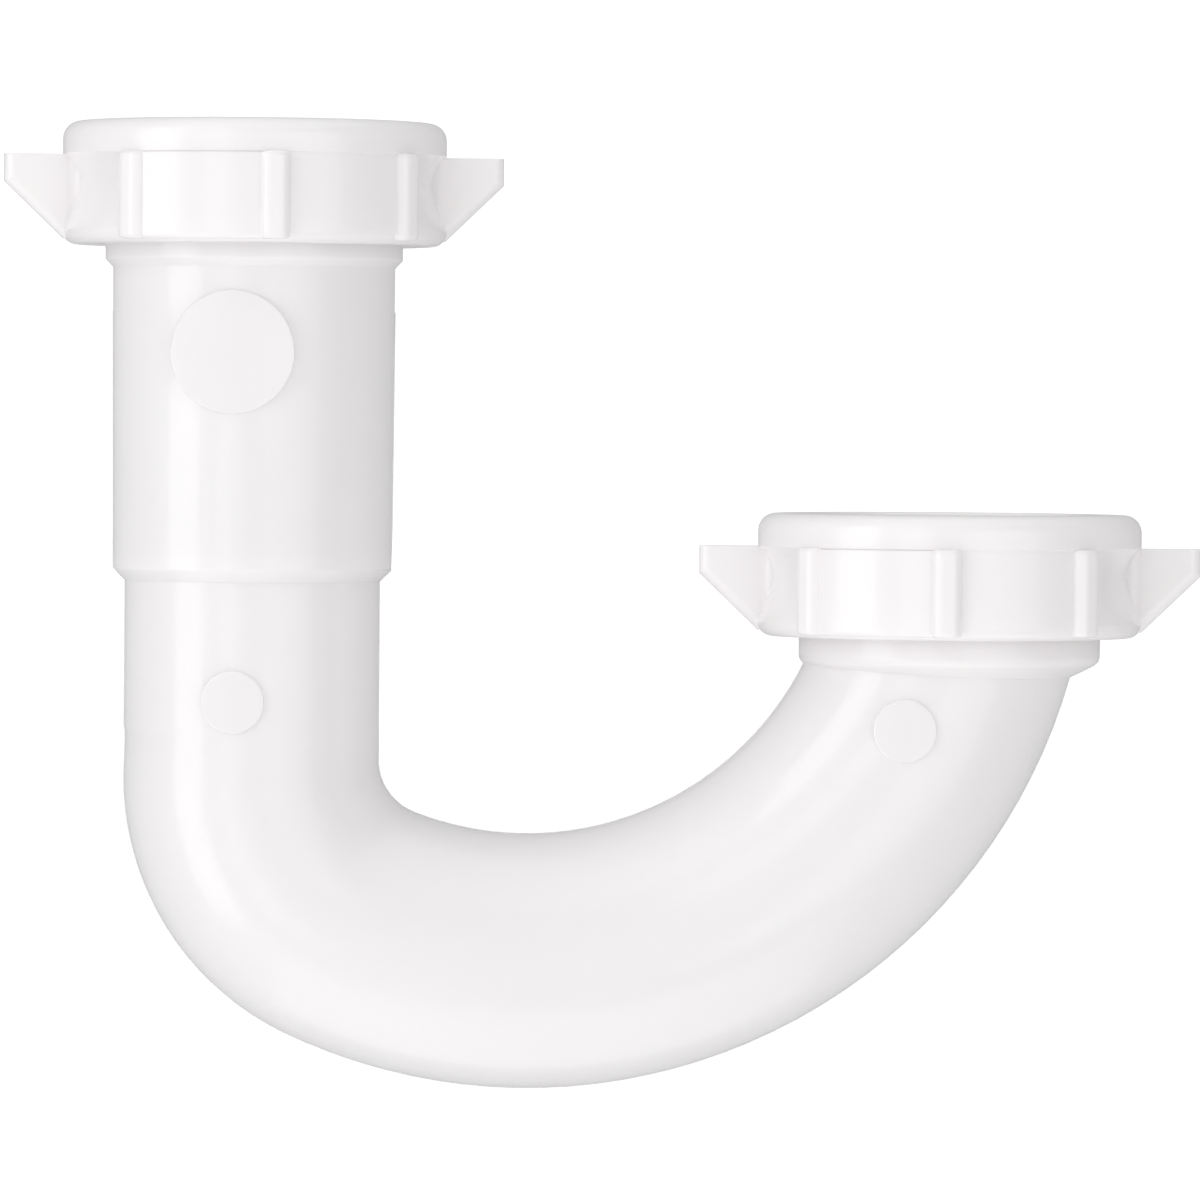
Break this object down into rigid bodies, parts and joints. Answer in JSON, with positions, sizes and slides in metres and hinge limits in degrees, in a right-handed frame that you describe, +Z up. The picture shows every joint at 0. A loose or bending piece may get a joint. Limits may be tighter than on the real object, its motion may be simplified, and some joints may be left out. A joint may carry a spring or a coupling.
{
  "type": "p-trap j-bend",
  "caption": "Plastic J-bend of a sink P-trap: a long and a short upright socket joined by one swept bend, each socket with a winged slip nut and a bevelled washer.",
  "frame": {"origin": "on the axis of the inlet socket, at the top of its straight bore, where the bevel that seats the washer begins, 3.2 mm below the socket's mouth", "axes": "+Z up along the inlet socket and out of its mouth; +X from the inlet towards the outlet; +Y to the back, away from the round pads"},
  "size_m": [0.1795, 0.0604, 0.1445],
  "materials": {
    "white_polypropylene": "satin gloss moulded polypropylene",
    "natural_polyethylene": "waxy translucent polyethylene"
  },
  "bodies": {
    "trap": {"j_bend": "white_polypropylene"},
    "inlet_washer": {"inlet_washer": "natural_polyethylene"},
    "inlet_nut": {"inlet_slip_nut": "white_polypropylene"},
    "outlet_washer": {"outlet_washer": "natural_polyethylene"},
    "outlet_nut": {"outlet_slip_nut": "white_polypropylene"}
  },
  "joints": [
    {"name": "inlet_washer_slide", "type": "slide", "parent": "trap", "child": "inlet_washer", "axis": [0, 0, 1], "range_m": [0, 0.01216]},
    {"name": "inlet_nut_turn", "type": "hinge", "parent": "inlet_washer", "child": "inlet_nut", "pos_m": [0, 0, 0], "axis": [0, 0, 1], "range_deg": [0, 1980]},
    {"name": "outlet_washer_slide", "type": "slide", "parent": "trap", "child": "outlet_washer", "axis": [0, 0, 1], "range_m": [0, 0.01216]},
    {"name": "outlet_nut_turn", "type": "hinge", "parent": "outlet_washer", "child": "outlet_nut", "pos_m": [0.1046, 0, -0.05785], "axis": [0, 0, 1], "range_deg": [0, 1980]}
  ],
  "couplings": [
    {"joint": "inlet_washer_slide", "follows": "inlet_nut_turn", "m_per_rad": 0.00035153},
    {"joint": "outlet_washer_slide", "follows": "outlet_nut_turn", "m_per_rad": 0.00035153}
  ]
}
